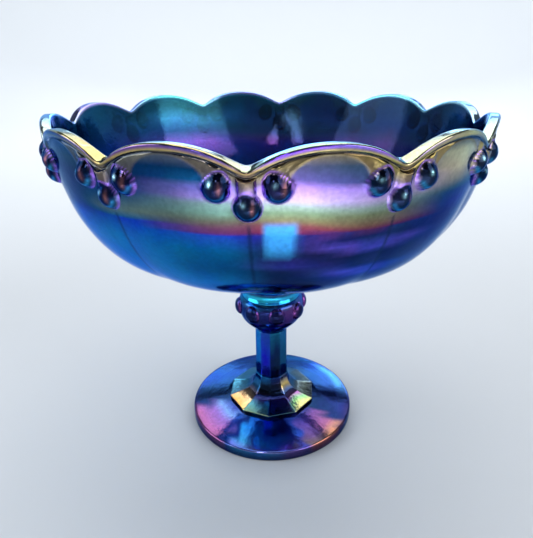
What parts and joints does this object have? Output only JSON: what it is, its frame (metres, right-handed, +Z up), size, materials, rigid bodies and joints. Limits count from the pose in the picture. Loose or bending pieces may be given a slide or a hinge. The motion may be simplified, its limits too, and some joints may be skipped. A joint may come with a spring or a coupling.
{
  "type": "footed glass bowl",
  "caption": "Wide footed bowl of pressed iridescent glass with a scalloped rim hung with moulded teardrops, on a faceted stem with a beaded knop and a round foot.",
  "frame": {"origin": "centre of the circle that the foot stands on, in the plane of the table", "axes": "+Z up along the stem; -Y points at a valley between two scallops of the rim"},
  "size_m": [0.2554, 0.2554, 0.207],
  "materials": {
    "lustre_glass": "cobalt blue pressed glass with a fired iridescent film, glossy"
  },
  "bodies": {
    "root": {"foot": "lustre_glass", "plinth": "lustre_glass", "stem": "lustre_glass", "beaded_knop": "lustre_glass", "neck": "lustre_glass", "bowl": "lustre_glass"}
  },
  "joints": []
}
